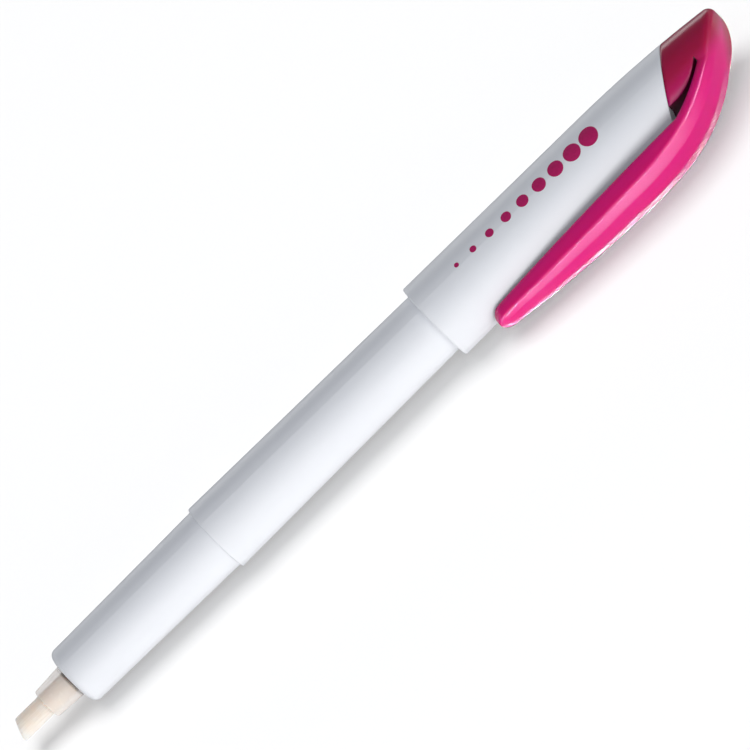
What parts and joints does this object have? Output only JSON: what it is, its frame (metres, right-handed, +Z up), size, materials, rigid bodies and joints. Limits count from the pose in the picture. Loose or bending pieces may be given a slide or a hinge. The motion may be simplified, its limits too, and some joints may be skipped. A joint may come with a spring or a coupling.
{
  "type": "eraser pen",
  "caption": "Felt-tip eraser pen with a slanted fibre nib, a tapered white barrel and a cap with a curved magenta pocket clip, cap pushed onto the rear.",
  "frame": {"origin": "on the table, under the middle of the resting pen", "axes": "+X along the pen from the nib to the cap, +Z up from the table, -Y to the side where the clip lies"},
  "size_m": [0.1482, 0.0172, 0.0139],
  "materials": {
    "white_plastic": "satin",
    "magenta_plastic": "gloss",
    "clear_plastic": "gloss",
    "nib_fibre": "matt",
    "reservoir_fibre": "matt",
    "liner_plastic": "matt"
  },
  "bodies": {
    "pen": {"barrel": "white_plastic", "front_section": "white_plastic", "nozzle": "clear_plastic", "nib": "nib_fibre", "reservoir": "reservoir_fibre"},
    "cap": {"cap_tube": "white_plastic", "inner_cap": "liner_plastic", "clip": "magenta_plastic"}
  },
  "joints": [
    {"name": "cap_slide", "type": "slide", "parent": "pen", "child": "cap", "axis": [0.9998, 0, 0.0191], "range_m": [0, 0.0295]}
  ]
}
